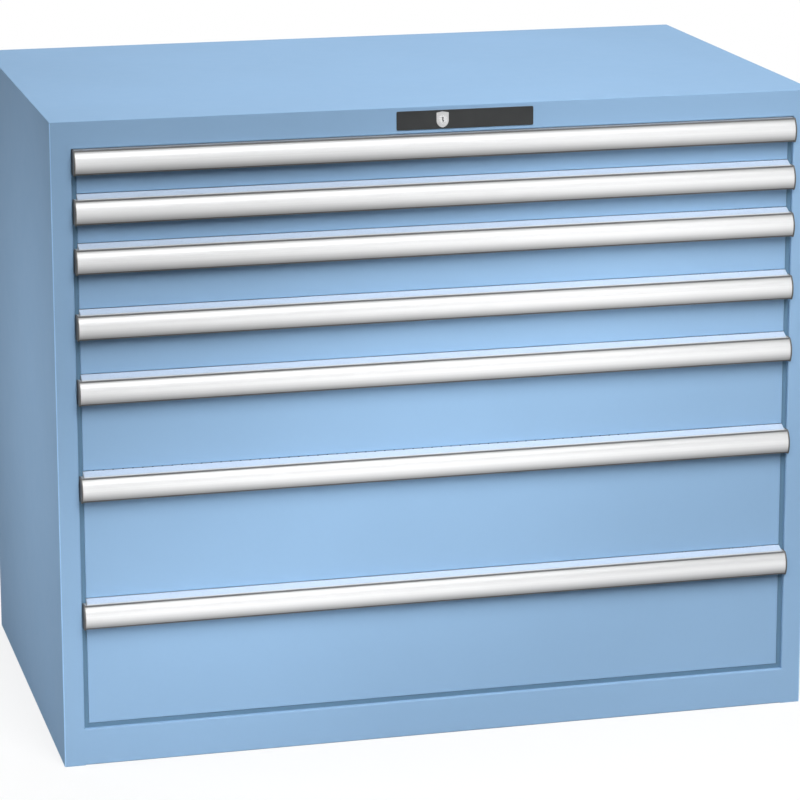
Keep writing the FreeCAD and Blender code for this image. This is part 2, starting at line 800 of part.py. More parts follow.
def lock_plate():
    """The cover plate on the top bar, longer to the right of the cylinder."""
    body = new_body("lock_plate")
    face = new_sketch(body, "XZ_Plane", FRONT)
    corner = size_of("lock_plate_corner")
    left = size_of("lock_plate_offset") - size_of("lock_plate_width") / 2
    right = size_of("lock_plate_offset") + size_of("lock_plate_width") / 2
    low = LOCK_LEVEL - size_of("lock_plate_height") / 2
    high = LOCK_LEVEL + size_of("lock_plate_height") / 2
    draw_outline(face, [
        (left + corner, low),
        (right - corner, low, (right - corner, low + corner)),
        (right, low + corner),
        (right, high - corner, (right - corner, high - corner)),
        (right - corner, high),
        (left + corner, high, (left + corner, high - corner)),
        (left, high - corner),
        (left, low + corner, (left + corner, low + corner)),
    ])
    hole = size_of("cylinder_diameter") + size_of("cylinder_hole_clearance") * 2
    draw_circle(face, 0, LOCK_LEVEL, hole)
    pad(body, face, size_of("lock_plate_thickness"))


def lock_rosette():
    """The shield-shaped rosette around the cylinder's nose."""
    body = new_body("lock_rosette")
    face = new_sketch(body, "XZ_Plane", PLATE_FACE)
    half = size_of("rosette_width") / 2
    tip = size_of("rosette_height") / 2
    waist = LOCK_LEVEL - size_of("rosette_waist")
    drop = tip - size_of("rosette_waist")
    shift = (drop * drop - half * half) / (half * 2)
    draw_outline(face, [
        (0, LOCK_LEVEL + tip),
        (-half, LOCK_LEVEL + size_of("rosette_shoulder")),
        (-half, waist, (shift, waist)),
        (0, LOCK_LEVEL - tip, (-shift, waist)),
        (half, waist),
        (half, LOCK_LEVEL + size_of("rosette_shoulder")),
    ])
    nose_hole = size_of("cylinder_nose_diameter") + size_of("plug_clearance") * 2
    draw_circle(face, 0, LOCK_LEVEL, nose_hole)
    pad(body, face, size_of("rosette_thickness"))


def lock_cylinder():
    """The lock's barrel through the plate and bar, with its nose in the rosette and a plug bore."""
    body = new_body("lock_cylinder")
    barrel = new_sketch(body, "XZ_Plane", CYLINDER_BACK)
    draw_circle(barrel, 0, LOCK_LEVEL, size_of("cylinder_diameter"))
    pad(body, barrel, size_of("cylinder_length"))
    nose = new_sketch(body, "XZ_Plane", PLATE_FACE)
    draw_circle(nose, 0, LOCK_LEVEL, size_of("cylinder_nose_diameter"))
    pad(body, nose, size_of("rosette_thickness") + size_of("cylinder_nose_height"))
    bore = new_sketch(body, "XZ_Plane", ROSETTE_FACE - size_of("cylinder_nose_height"))
    draw_circle(bore, 0, LOCK_LEVEL, size_of("plug_diameter") + size_of("plug_clearance") * 2)
    nose_length = size_of("rosette_thickness") + size_of("cylinder_nose_height")
    pocket(body, bore, size_of("cylinder_length") + nose_length)


def lock_nut():
    """The hexagonal nut that clamps the cylinder behind the top bar."""
    body = new_body("lock_nut")
    face = new_sketch(body, "XZ_Plane", FRONT + SHEET + size_of("nut_thickness"))
    draw_polygon(face, Size(0), LOCK_LEVEL, size_of("nut_width"), NUT_SIDES)
    draw_circle(face, 0, LOCK_LEVEL, size_of("cylinder_diameter") + size_of("plug_clearance") * 2)
    pad(body, face, size_of("nut_thickness"))


def lock_plug():
    """The plug that the key turns, with its keyway."""
    body = new_body("lock_plug")
    plug_face = ROSETTE_FACE - size_of("cylinder_nose_height") - size_of("plug_nose_height")
    rear = new_sketch(body, "XZ_Plane", CRANK_FRONT)
    draw_circle(rear, 0, LOCK_LEVEL, size_of("plug_diameter"))
    pad(body, rear, CRANK_FRONT - plug_face)
    keyway = new_sketch(body, "XZ_Plane", plug_face)
    half_width = size_of("keyway_width") / 2
    half_height = size_of("keyway_height") / 2
    draw_rectangle(keyway, -half_width, half_width, LOCK_LEVEL - half_height, LOCK_LEVEL + half_height)
    pocket(body, keyway, size_of("keyway_depth"))


def lock_crank():
    """The crank arm on the plug. Its pin starts up and to the left, and ends up and to the right."""
    body = new_body("lock_crank")
    arm = new_sketch(body, "XZ_Plane", CRANK_BACK)
    across = size_of("crank_width") / 2 * HALF_SQUARE
    tail = size_of("crank_tail") * HALF_SQUARE
    tip = size_of("crank_tip") * HALF_SQUARE
    draw_outline(arm, [
        (tail - across, LOCK_LEVEL - tail - across),
        (tail + across, LOCK_LEVEL - tail + across),
        (across - tip, LOCK_LEVEL + tip + across),
        (-across - tip, LOCK_LEVEL + tip - across),
    ])
    pad(body, arm, size_of("crank_thickness"))
    pin = new_sketch(body, "XZ_Plane", CRANK_BACK)
    draw_circle(pin, -CRANK_REACH, LOCK_LEVEL + CRANK_REACH, size_of("crank_pin_diameter"))
    pin_length = size_of("rod_gap") + size_of("rod_thickness") + size_of("lock_bar_gap") / 2
    pad(body, pin, pin_length, backwards=True)


def lock_rod():
    """The flat rod from the crank to the lock bar, with an upright slot and a 45 degree slot."""
    body = new_body("lock_rod")
    face = new_sketch(body, "XZ_Plane", ROD_BACK)
    throw = size_of("crank_throw")
    pin_half = size_of("crank_pin_diameter") / 2
    slot_play = size_of("crank_slot_clearance")
    high = LOCK_LEVEL + throw
    low = high - size_of("rod_height")
    head_left = -size_of("rod_head_length") / 2
    head_right = size_of("rod_head_length") / 2
    head_top = high + size_of("rod_head_rise")
    end_right = LIFT_PIN_X + size_of("lift_pin_inset")
    end_left = end_right - size_of("rod_end_length")
    end_low = LIFT_PIN_Z - size_of("lift_pin_inset")
    end_high = end_low + size_of("rod_end_height")
    draw_outline(face, [
        (head_left, low),
        (end_left, low),
        (end_left, end_low),
        (end_right, end_low),
        (end_right, end_high),
        (end_left, end_high),
        (end_left, high),
        (head_right, high),
        (head_right, head_top),
        (head_left, head_top),
    ])
    slot_half = pin_half + slot_play
    draw_rectangle(face, -CRANK_REACH - slot_half, -CRANK_REACH + slot_half,
                   LOCK_LEVEL + CRANK_REACH - slot_half, LOCK_LEVEL + throw + slot_half)
    reach = (size_of("lift_pin_diameter") / 2 + size_of("lift_slot_clearance")) * HALF_SQUARE
    upper_x = LIFT_PIN_X - LOCK_TRAVEL
    upper_z = LIFT_PIN_Z + LOCK_TRAVEL
    draw_outline(face, [
        (LIFT_PIN_X, LIFT_PIN_Z - reach * 2),
        (LIFT_PIN_X + reach * 2, LIFT_PIN_Z),
        (upper_x, upper_z + reach * 2),
        (upper_x - reach * 2, upper_z),
    ])
    pad(body, face, size_of("rod_thickness"))


def lock_rod_hangers():
    """Two forks under the top sheet that guide the lock rod."""
    body = new_body("lock_rod_hangers")
    wall = size_of("guide_wall")
    play = size_of("guide_clearance")
    rod_top = LOCK_LEVEL + size_of("crank_throw")
    low = rod_top - size_of("rod_height") / 2
    for share in HANGER_SHARES:
        section = new_sketch(body, "YZ_Plane", LIFT_PIN_X * share)
        draw_outline(section, [
            (ROD_FRONT - play - wall, low),
            (ROD_FRONT - play, low),
            (ROD_FRONT - play, rod_top + play),
            (ROD_BACK + play, rod_top + play),
            (ROD_BACK + play, low),
            (ROD_BACK + play + wall, low),
            (ROD_BACK + play + wall, TOP_UNDERSIDE),
            (ROD_FRONT - play - wall, TOP_UNDERSIDE),
        ])
        pad(body, section, size_of("hanger_length"))


def lock_bar():
    """The upright bar with a nose for every drawer, and the pin that the rod's sloped slot lifts."""
    body = new_body("lock_bar")
    low = OPENING_FLOOR + size_of("lock_bar_foot")
    high = LIFT_PIN_Z + size_of("lift_pin_inset")
    pad_block(body, (LOCK_BAR_INNER, LOCK_BAR_OUTER), (LOCK_BAR_FRONT, LOCK_BAR_BACK), (low, high))
    noses = new_sketch(body, "XZ_Plane", LOCK_BAR_BACK)
    tip = TRAY_SIDE + size_of("nose_tip_gap")
    for number in DRAWERS:
        level = drawer_floor(number) + size_of("nose_level")
        draw_rectangle(noses, tip, LOCK_BAR_INNER, level, level + size_of("nose_height"))
    pad(body, noses, size_of("lock_bar_thickness"))
    pin = new_sketch(body, "XZ_Plane", LOCK_BAR_FRONT)
    draw_circle(pin, LIFT_PIN_X, LIFT_PIN_Z, size_of("lift_pin_diameter"))
    pad(body, pin, LOCK_BAR_FRONT - ROD_FRONT + size_of("rod_gap"))


def lock_bar_guides():
    """Three forks on the right side panel that guide the lock bar."""
    body = new_body("lock_bar_guides")
    wall = size_of("guide_wall")
    play = size_of("guide_clearance")
    near = LOCK_BAR_FRONT - play
    far = LOCK_BAR_BACK + play
    mouth = WALL - size_of("guide_reach")
    room = OPENING_TOP - OPENING_FLOOR
    for share in GUIDE_SHARES:
        section = new_sketch(body, "XY_Plane", OPENING_FLOOR + room * share)
        draw_outline(section, [
            (mouth, near - wall),
            (WALL, near - wall),
            (WALL, far + wall),
            (mouth, far + wall),
            (mouth, far),
            (WALL - wall, far),
            (WALL - wall, near),
            (mouth, near),
        ])
        pad(body, section, size_of("guide_length"))


side_panel("side_panel_left", -1)
side_panel("side_panel_right", 1)
top_panel()
base_panel()
back_panel()
posts()
cabinet_rails()
lock_plate()
lock_rosette()
lock_cylinder()
lock_nut()
lock_plug()
lock_crank()
lock_rod()
lock_rod_hangers()
lock_bar()
lock_bar_guides()
for drawer in DRAWERS:
    drawer_tray(drawer)
    drawer_front(drawer)
    drawer_handle(drawer)
    handle_end_caps(drawer)
    carriage_bars(drawer)
    carriage_rollers(drawer)

document.recompute()

faults = []
for thing in document.Objects:
    if "Invalid" in thing.State or "Error" in thing.State:
        faults.append(f"{thing.Label}: {thing.State}")
bodies = [thing for thing in document.Objects if thing.TypeId == "PartDesign::Body"]
for body in bodies:
    if body.Shape.isNull() or not body.Shape.isValid():
        faults.append(f"{body.Label}: shape is null or not valid")
if faults:
    raise RuntimeError("\n".join(faults))

os.makedirs("parts", exist_ok=True)
for body in bodies:
    body.Shape.exportStep(f"parts/{body.Label}.step")
print(f"{len(bodies)} sub-parts written")
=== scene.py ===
import bmesh
import bpy
import json
import math
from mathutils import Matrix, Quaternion, Vector


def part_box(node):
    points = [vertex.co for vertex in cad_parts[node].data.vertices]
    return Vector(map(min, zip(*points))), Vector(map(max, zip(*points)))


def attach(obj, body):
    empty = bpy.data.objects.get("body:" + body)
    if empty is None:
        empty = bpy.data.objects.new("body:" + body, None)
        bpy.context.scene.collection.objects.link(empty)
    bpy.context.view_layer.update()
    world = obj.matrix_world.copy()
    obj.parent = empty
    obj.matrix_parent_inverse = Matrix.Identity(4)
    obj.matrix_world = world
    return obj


# A modular drawer cabinet: blue powder-coated housing, seven drawers with aluminium handles, and a
# central lock. Metres, in the frame's own axes: the front faces -Y and +Z is up.

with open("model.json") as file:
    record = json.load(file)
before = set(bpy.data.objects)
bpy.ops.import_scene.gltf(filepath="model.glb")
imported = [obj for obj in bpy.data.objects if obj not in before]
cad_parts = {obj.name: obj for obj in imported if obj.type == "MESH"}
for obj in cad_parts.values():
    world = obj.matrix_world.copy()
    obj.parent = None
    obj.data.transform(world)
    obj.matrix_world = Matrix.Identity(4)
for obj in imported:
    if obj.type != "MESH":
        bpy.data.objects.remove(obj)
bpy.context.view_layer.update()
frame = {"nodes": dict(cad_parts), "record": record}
bpy.context.scene.view_settings.view_transform = "Standard"
DRAWERS = range(1, 8)
MM = 0.001

# The housing and the opening for its drawers, from the frame
SIDE_LOW, SIDE_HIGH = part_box("side_panel_right")
CORNER_X = SIDE_HIGH.x
FRONT_Y = SIDE_LOW.y
BACK_Y = SIDE_HIGH.y
TOP_LOW, TOP_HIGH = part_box("top_panel")
OPENING_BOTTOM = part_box("base_panel")[1].z
OPENING_TOP = TOP_LOW.z
MIDDLE_Z = TOP_HIGH.z / 2

# The handle's section: the grip's arc, and the label ledge above it that only drawer 1 lacks
GRIP_RADIUS = 27 * MM
GRIP_CENTRE_DROP = 20.5 * MM
GRIP_LOW, GRIP_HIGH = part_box("drawer_1_handle")
GRIP_HEIGHT = GRIP_HIGH.z - GRIP_LOW.z
LEDGED_LOW, LEDGED_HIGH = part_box("drawer_2_handle")
LEDGE_RISE = LEDGED_HIGH.z - LEDGED_LOW.z - GRIP_HEIGHT


# Shader nodes

def scaled(colour, factor):
    return tuple(min(1.0, channel * factor) for channel in colour)


class NodeTree:
    """The emptied node tree of a material or a world, with short calls for its nodes."""

    def __init__(self, owner):
        owner.use_nodes = True
        self.tree = owner.node_tree
        self.tree.nodes.clear()

    def add(self, kind, **settings):
        node = self.tree.nodes.new(kind)
        for key, value in settings.items():
            setattr(node, key, value)
        return node

    def link(self, source, target):
        self.tree.links.new(source, target)

    def object_place(self):
        return self.add("ShaderNodeTexCoord").outputs["Object"]

    def spread(self, value, low, high, start=0.3, end=0.7):
        """Maps start..end of a value to low..high."""
        node = self.add("ShaderNodeMapRange")
        node.inputs["From Min"].default_value = start
        node.inputs["From Max"].default_value = end
        node.inputs["To Min"].default_value = low
        node.inputs["To Max"].default_value = high
        self.link(value, node.inputs["Value"])
        return node.outputs["Result"]

    def blend(self, share, first, second):
        """The first colour where share is 0 and the second where it is 1."""
        node = self.add("ShaderNodeMix", data_type="RGBA")
        node.inputs["A"].default_value = (*first, 1)
        node.inputs["B"].default_value = (*second, 1)
        self.link(share, node.inputs["Factor"])
        return node.outputs["Result"]

    def math(self, operation, *values):
        node = self.add("ShaderNodeMath", operation=operation)
        for socket, value in zip(node.inputs, values):
            if isinstance(value, (int, float)):
                socket.default_value = value
            else:
                self.link(value, socket)
        return node.outputs["Value"]

    def mix_shaders(self, share, first, second):
        node = self.add("ShaderNodeMixShader")
        self.link(share, node.inputs["Fac"])
        self.link(first, node.inputs[1])
        self.link(second, node.inputs[2])
        return node.outputs["Shader"]

    def background_rays(self):
        """1 for rays from the camera, a mirror or glass, and 0 for the light on surfaces."""
        path = self.add("ShaderNodeLightPath")
        seen = self.math("MAXIMUM", path.outputs["Is Camera Ray"], path.outputs["Is Glossy Ray"])
        return self.math("MAXIMUM", seen, path.outputs["Is Transmission Ray"])


class Shader(NodeTree):
    """A material's node tree with one Principled shader, and short calls for what feeds it. The
    roughness given here is its plain level, which a texture then varies."""

    def __init__(self, name, roughness, metallic=0.0):
        self.material = bpy.data.materials.new(name)
        super().__init__(self.material)
        output = self.add("ShaderNodeOutputMaterial")
        self.surface = self.add("ShaderNodeBsdfPrincipled")
        self.surface.inputs["Roughness"].default_value = roughness
        self.surface.inputs["Metallic"].default_value = metallic
        self.link(self.surface.outputs["BSDF"], output.inputs["Surface"])
        self.place = self.object_place()

    def set(self, **values):
        for key, value in values.items():
            self.surface.inputs[key.replace("_", " ")].default_value = value

    def stretched(self, x, y, z):
        """The object's own coordinates, scaled along each axis."""
        mapping = self.add("ShaderNodeMapping")
        mapping.inputs["Scale"].default_value = (x, y, z)
        self.link(self.place, mapping.inputs["Vector"])
        return mapping.outputs["Vector"]

    def noise(self, vector, scale, detail=2.0):
        node = self.add("ShaderNodeTexNoise")
        node.inputs["Scale"].default_value = scale
        node.inputs["Detail"].default_value = detail
        self.link(vector, node.inputs["Vector"])
        return node.outputs["Fac"]

    def cells(self, vector, scale):
        """Two random values, each the same over a whole cell."""
        node = self.add("ShaderNodeTexVoronoi")
        node.inputs["Scale"].default_value = scale
        self.link(vector, node.inputs["Vector"])
        parts = self.add("ShaderNodeSeparateColor")
        self.link(node.outputs["Color"], parts.inputs["Color"])
        return parts.outputs["Red"], parts.outputs["Green"]

    def axes(self):
        """The object's own x, y and z, each on its own."""
        parts = self.add("ShaderNodeSeparateXYZ")
        self.link(self.place, parts.inputs["Vector"])
        return parts.outputs["X"], parts.outputs["Y"], parts.outputs["Z"]

    def within(self, value, centre, reach):
        """1 where value lies within reach of centre, else 0."""
        return self.math("COMPARE", value, centre, reach)

    def every(self, value, pitch, centre=0.0):
        """How far value lies from the nearest of the places centre, centre + pitch and so on."""
        shifted = self.math("SUBTRACT", value, centre)
        return self.math("ABSOLUTE", self.math("WRAP", shifted, pitch / 2, -pitch / 2))

    def product(self, first, *others):
        for other in others:
            first = self.math("MULTIPLY", first, other)
        return first

    def drop(self, top, height):
        """How far a point lies below top, as a share of height."""
        return self.spread(self.axes()[2], 0, 1, start=top, end=top - height)

    def ramp(self, value, stops):
        """A grey tone through (position, tone) stops."""
        node = self.add("ShaderNodeValToRGB")
        elements = node.color_ramp.elements
        while len(elements) < len(stops):
            elements.new(1.0)
        for element, (position, tone) in zip(elements, stops):
            element.position = position
            element.color = (tone, tone, tone, 1)
        self.link(value, node.inputs["Fac"])
        return node.outputs["Color"]

    def multiply(self, first, second):
        node = self.add("ShaderNodeMix", data_type="RGBA", blend_type="MULTIPLY")
        node.inputs["Factor"].default_value = 1
        self.link(first, node.inputs["A"])
        self.link(second, node.inputs["B"])
        return node.outputs["Result"]

    def cover(self, share, under, colour):
        """The colour where share is 1, and what lies under it where share is 0."""
        node = self.add("ShaderNodeMix", data_type="RGBA")
        node.inputs["B"].default_value = (*colour, 1)
        self.link(under, node.inputs["A"])
        self.link(share, node.inputs["Factor"])
        return node.outputs["Result"]

    def tones(self, grain, colour, darker, lighter):
        """The colour, varied with the grain from a darker to a lighter tone of itself."""
        return self.blend(self.spread(grain, 0, 1), scaled(colour, darker), scaled(colour, lighter))

    def colour(self, value):
        self.link(value, self.surface.inputs["Base Color"])

    def rough(self, value):
        self.link(value, self.surface.inputs["Roughness"])

    def bump(self, height, distance, strength):
        node = self.add("ShaderNodeBump")
        node.inputs["Distance"].default_value = distance
        node.inputs["Strength"].default_value = strength
        self.link(height, node.inputs["Height"])
        self.link(node.outputs["Normal"], self.surface.inputs["Normal"])


# Materials, with the grain of each in cells per metre and its depth

BLUE = (0.284, 0.455, 0.672)
# A darker blue that is painted shade, for the strips in the gaps around the fronts
PAINTED_SHADE_BLUE = (0.125, 0.228, 0.335)
GREY = (0.55, 0.57, 0.585)
PAINT_SPECULAR = 0.03
PAINT_CLOUDS = 3.2
PAINT_PATCHES = 38
PAINT_UNEVEN = 0.035
PAINT_PEEL = 420
PEEL_DEPTH = 0.12 * MM


def powder_coat(name, colour, roughness=0.6, marks=()):
    """Satin powder coat: a fine orange peel and faint thickness clouds. Each mark(shader) gives where
    it is marked and in which colour."""
    shader = Shader(name, roughness)
    clouds = shader.noise(shader.place, PAINT_CLOUDS, detail=4.0)
    paint = shader.tones(clouds, colour, darker=0.975, lighter=1.02)
    for mark in marks:
        share, mark_colour = mark(shader)
        paint = shader.cover(share, paint, mark_colour)
    shader.colour(paint)
    patches = shader.noise(shader.place, PAINT_PATCHES, detail=3.0)
    shader.rough(shader.spread(patches, roughness - PAINT_UNEVEN, roughness + PAINT_UNEVEN))
    shader.bump(shader.noise(shader.place, PAINT_PEEL, detail=1.5), PEEL_DEPTH, strength=0.22)
    shader.set(Specular_IOR_Level=PAINT_SPECULAR)
    return shader.material


# A painted highlight along the housing's two upright front corners
BEND_HIGHLIGHT_WIDTH = 1.6 * MM
BEND_HIGHLIGHT_SHARE = 0.9
BEND_HIGHLIGHT_COLOUR = scaled(BLUE, 1.5)


def painted_bend_highlights(shader):
    """A painted highlight: a lighter blue along the two upright front corners, standing in for the light
    they catch.
    """
    x, y = shader.axes()[:2]
    corner = shader.within(shader.math("ABSOLUTE", x), CORNER_X, BEND_HIGHLIGHT_WIDTH)
    front = shader.math("LESS_THAN", y, FRONT_Y + BEND_HIGHLIGHT_WIDTH)
    return shader.product(corner, front, BEND_HIGHLIGHT_SHARE), BEND_HIGHLIGHT_COLOUR


WELD_SIDE_INSET = 10 * MM
WELD_END_INSET = 14 * MM
WELD_DEPTH = 2 * MM
WELD_PITCH = 90 * MM
WELD_RADIUS = 3.2 * MM
WELD_RING = 0.9 * MM
WELD_SHARE = 0.5
WELD_COLOUR = scaled(BLUE, 0.55)


def weld_marks(shader):
    """Spot-weld marks along the back's four edges, on the sides' rear returns and the back sheet."""
    x, y, z = shader.axes()
    height = shader.math("SUBTRACT", z, MIDDLE_Z)
    rows = []
    for across, edge, along in ((x, CORNER_X - WELD_SIDE_INSET, height),
                                (height, MIDDLE_Z - WELD_END_INSET, x)):
        off = shader.math("SUBTRACT", shader.math("ABSOLUTE", across), edge)
        reach = shader.every(along, WELD_PITCH)
        squares = shader.math("ADD", shader.math("MULTIPLY", off, off),
                              shader.math("MULTIPLY", reach, reach))
        rows.append(shader.within(shader.math("SQRT", squares), WELD_RADIUS, WELD_RING))
    behind = shader.math("GREATER_THAN", y, BACK_Y - WELD_DEPTH)
    return shader.product(shader.math("MAXIMUM", *rows), behind, WELD_SHARE), WELD_COLOUR


TRAY_HALF_WIDTH = 545.2 * MM
TRAY_SHEET = 1.2 * MM
WALL_TOLERANCE = 0.4 * MM
SLOT_PITCH = 17 * MM
SLOT_WIDTH = 3.2 * MM
SLOT_HEIGHT = 12 * MM
SLOT_END_GAP = 22 * MM
ROW_PITCH = 25 * MM
ROW_START = 7 * MM
ROW_TOP_GAP = 15 * MM
# Near-black: painted shade for the slots' openings
SLOT_SHADE_COLOUR = (0.03, 0.03, 0.032)


def divider_slots(number):
    """Marks for a tray: rows of slots for dividers in its four walls, drawn as near-black marks that are
    painted shade for the openings.
    """
    low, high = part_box(f"drawer_{number}_tray")
    middle_y = (low.y + high.y) / 2
    half_y = (high.y - low.y) / 2 - TRAY_SHEET

    def marks(shader):
        x, y, z = shader.axes()
        from_middle_x = shader.math("ABSOLUTE", x)
        from_middle_y = shader.math("ABSOLUTE", shader.math("SUBTRACT", y, middle_y))
        sides = shader.product(
            shader.within(from_middle_x, TRAY_HALF_WIDTH - TRAY_SHEET, WALL_TOLERANCE),
            shader.math("LESS_THAN", shader.every(y, SLOT_PITCH, middle_y), SLOT_WIDTH / 2),
            shader.math("LESS_THAN", from_middle_y, half_y - SLOT_END_GAP))
        ends = shader.product(
            shader.within(from_middle_y, half_y, WALL_TOLERANCE),
            shader.math("LESS_THAN", shader.every(x, SLOT_PITCH), SLOT_WIDTH / 2),
            shader.math("LESS_THAN", from_middle_x, TRAY_HALF_WIDTH - SLOT_END_GAP))
        row = shader.every(z, ROW_PITCH, low.z + ROW_START + SLOT_HEIGHT / 2)
        rows = shader.product(shader.math("LESS_THAN", row, SLOT_HEIGHT / 2),
                              shader.math("LESS_THAN", z, high.z - ROW_TOP_GAP),
                              shader.math("GREATER_THAN", z, low.z + ROW_START))
        return shader.product(shader.math("MAXIMUM", sides, ends), rows), SLOT_SHADE_COLOUR

    return marks


# The handle's painted shading at distances below the grip's top edge, in millimetres: painted shade
# towards the grip's edges and a painted highlight across its middle
HANDLE_PAINTED_SHADING = ((-6.5, 0.9), (-0.3, 0.9), (0.2, 0.42), (2.0, 0.42), (4.3, 0.52), (7.0, 0.66),
                (10.0, 0.8), (13.0, 0.95), (16.0, 1.07), (19.0, 1.07), (22.0, 1.0), (25.0, 0.9),
                (28.0, 0.76), (31.0, 0.6), (34.0, 0.45), (36.5, 0.4))
ALUMINIUM_TONES = ((0.72, 0.725, 0.73), (0.765, 0.77, 0.775))
DRAW_LINES = (1.2, 900, 900)
DRAW_LINE_DEPTH = 0.05 * MM


def anodised_aluminium(name, top):
    """Extruded, satin anodised: draw lines along the profile, with painted shade towards the grip's edges
    and a painted highlight across its middle.
    """
    shader = Shader(name, 0.36, metallic=0.2)
    lines = shader.noise(shader.stretched(*DRAW_LINES), 1.0, detail=3.0)
    bright = shader.blend(shader.spread(lines, 0, 1), *ALUMINIUM_TONES)
    height = LEDGE_RISE + GRIP_HEIGHT
    stops = [((LEDGE_RISE + below * MM) / height, tone) for below, tone in HANDLE_PAINTED_SHADING]
    # Painted shade and a painted highlight across the grip's profile
    tone = shader.ramp(shader.drop(top + LEDGE_RISE, height), stops)
    shader.colour(shader.multiply(bright, tone))
    shader.rough(shader.spread(lines, 0.31, 0.42))
    shader.bump(lines, DRAW_LINE_DEPTH, strength=0.2)
    return shader.material


ZINC_TONES = ((0.52, 0.54, 0.57), (0.68, 0.69, 0.7))
ZINC_CRYSTALS = 160
ZINC_GRAIN = 300
ZINC_DEPTH = 0.05 * MM


def zinc_plate(name):
    """Zinc-plated steel: small bluish grey crystals of uneven sheen."""
    shader = Shader(name, 0.38, metallic=0.85)
    tone, sheen = shader.cells(shader.place, ZINC_CRYSTALS)
    shader.colour(shader.blend(tone, *ZINC_TONES))
    shader.rough(shader.spread(sheen, 0.3, 0.46, start=0, end=1))
    shader.bump(shader.noise(shader.place, ZINC_GRAIN), ZINC_DEPTH, strength=0.15)
    return shader.material


SCRATCHES = (900, 60, 900)
SCRATCH_DEPTH = 0.03 * MM


def satin_metal(name, colour, roughness):
    """A turned and satin-plated metal with fine scratches."""
    shader = Shader(name, roughness, metallic=0.5)
    scratches = shader.noise(shader.stretched(*SCRATCHES), 1.0, detail=4.0)
    shader.colour(shader.tones(scratches, colour, darker=0.93, lighter=1))
    shader.rough(shader.spread(scratches, roughness - 0.05, roughness + 0.07))
    shader.bump(scratches, SCRATCH_DEPTH, strength=0.15)
    return shader.material


PLASTIC_SPECULAR = 0.15
PLASTIC_CLOUDS = 25
PLASTIC_GRAIN = 1500
PLASTIC_UNEVEN = 0.06
GRAIN_DEPTH = 0.04 * MM


def moulded_plastic(name, colour, roughness):
    """Moulded plastic with an eroded grain."""
    shader = Shader(name, roughness)
    pits = shader.noise(shader.place, PLASTIC_GRAIN)
    clouds = shader.noise(shader.place, PLASTIC_CLOUDS, detail=3.0)
    shader.colour(shader.tones(clouds, colour, darker=0.9, lighter=1.08))
    shader.rough(shader.spread(pits, roughness - PLASTIC_UNEVEN, roughness + PLASTIC_UNEVEN))
    shader.bump(pits, GRAIN_DEPTH, strength=0.3)
    shader.set(Specular_IOR_Level=PLASTIC_SPECULAR)
    return shader.material


# Pale paper with a blue tint that is a painted reflection of the fronts
PAPER_AND_REFLECTION_TONES = ((0.53, 0.63, 0.77), (0.58, 0.68, 0.82))
PAPER_FIBRES = (260, 900, 900)
FIBRE_DEPTH = 0.03 * MM


def label_paper(name):
    """Blank label strips under a clear cover; their pale paper carries a blue tint that is a painted
    reflection of the blue fronts around them.
    """
    shader = Shader(name, 0.3)
    fibres = shader.noise(shader.stretched(*PAPER_FIBRES), 1.0, detail=4.0)
    shader.colour(shader.blend(shader.spread(fibres, 0, 1), *PAPER_AND_REFLECTION_TONES))
    shader.rough(shader.spread(fibres, 0.26, 0.36))
    shader.bump(fibres, FIBRE_DEPTH, strength=0.1)
    shader.set(Coat_Weight=0.3, Coat_Roughness=0.12)
    return shader.material


MATERIALS = {
    "housing_paint": powder_coat("blue_powder_coat", BLUE),
    "galvanised_steel": zinc_plate("zinc_plated_steel"),
    "roller_plastic": moulded_plastic("roller_nylon", (0.66, 0.65, 0.6), 0.4),
    "end_cap_plastic": moulded_plastic("dark_grey_plastic", (0.135, 0.135, 0.133), 0.55),
    "black_plastic": moulded_plastic("black_plastic", (0.045, 0.047, 0.048), 0.42),
    "lock_metal": satin_metal("satin_nickel", (0.62, 0.62, 0.625), 0.35),
}
POLISHED = satin_metal("polished_nickel", (0.84, 0.84, 0.845), 0.25)
LABEL = label_paper("label_paper")
# Paint of the sides and back: spot-weld marks, and a painted highlight on the front corners
SHEET_PAINT = powder_coat("marked_blue_powder_coat", BLUE, marks=(painted_bend_highlights, weld_marks))
PAINTED_SHADE_PAINT = powder_coat("painted_shade_blue_paint", PAINTED_SHADE_BLUE)


def handle_top(number):
    """The height of the grip's top edge. The label ledge on drawers 2 to 7 rises above it."""
    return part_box(f"drawer_{number}_handle")[1].z - (LEDGE_RISE if number > 1 else 0)


def drawer_number(name):
    return int(name.split("_")[1])


def node_material(name, slot):
    """A node's own material where it has one, and else its slot's."""
    if name in ("lock_cylinder", "lock_plug"):
        return POLISHED
    if name in ("side_panel_left", "side_panel_right", "back_panel"):
        return SHEET_PAINT
    if slot == "drawer_paint":
        number = drawer_number(name)
        return powder_coat(f"drawer_{number}_grey_powder_coat", GREY, 0.42, (divider_slots(number),))
    if slot == "handle_aluminium":
        number = drawer_number(name)
        return anodised_aluminium(f"drawer_{number}_anodised_aluminium", handle_top(number))
    return MATERIALS[slot]


for entry in frame["record"]["subparts"]:
    node = frame["nodes"][entry["node"]]
    node.data.materials.clear()
    node.data.materials.append(node_material(entry["node"], entry["material_slot"]))


# Mesh pieces

def new_piece(mesh, material, body):
    made = bpy.data.objects.new(mesh.name, mesh)
    bpy.context.scene.collection.objects.link(made)
    mesh.materials.append(material)
    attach(made, body)


def prism(name, near_outline, far_outline):
    """A closed solid between two outlines that have as many points."""
    shape = bmesh.new()
    near = [shape.verts.new(point) for point in near_outline]
    far = [shape.verts.new(point) for point in far_outline]
    shape.faces.new(near)
    shape.faces.new(reversed(far))
    for index in range(len(near)):
        after = (index + 1) % len(near)
        shape.faces.new((near[after], near[index], far[index], far[after]))
    bmesh.ops.recalc_face_normals(shape, faces=shape.faces)
    mesh = bpy.data.meshes.new(name)
    shape.to_mesh(mesh)
    shape.free()
    return mesh


